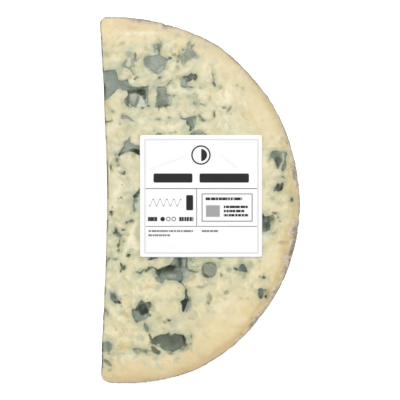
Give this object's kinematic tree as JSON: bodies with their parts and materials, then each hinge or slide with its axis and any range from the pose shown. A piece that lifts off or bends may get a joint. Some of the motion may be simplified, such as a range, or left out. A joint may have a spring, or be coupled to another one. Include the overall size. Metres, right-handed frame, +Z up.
{
  "type": "slice of blue cheese",
  "caption": "Half-moon slice of a mould-ripened blue cheese lying on its cut face, with a straight cut side, a rounded rind, mould-lined openings and a square paper label on top.",
  "frame": {"origin": "centre of the bounding box, on the surface that the slice lies on", "axes": "+X from the straight cut side to the rounded rind, +Y along the straight cut, +Z up out of the upper cut face that carries the label"},
  "size_m": [0.072, 0.1322, 0.0256],
  "materials": {
    "paste": "moist cream paste with blue-grey mould in the openings and a dry tan and grey rind",
    "label_paper": "smooth coated white paper with plain printed fields"
  },
  "bodies": {
    "root": {"cheese_slice": "paste", "label": "label_paper"}
  },
  "joints": []
}
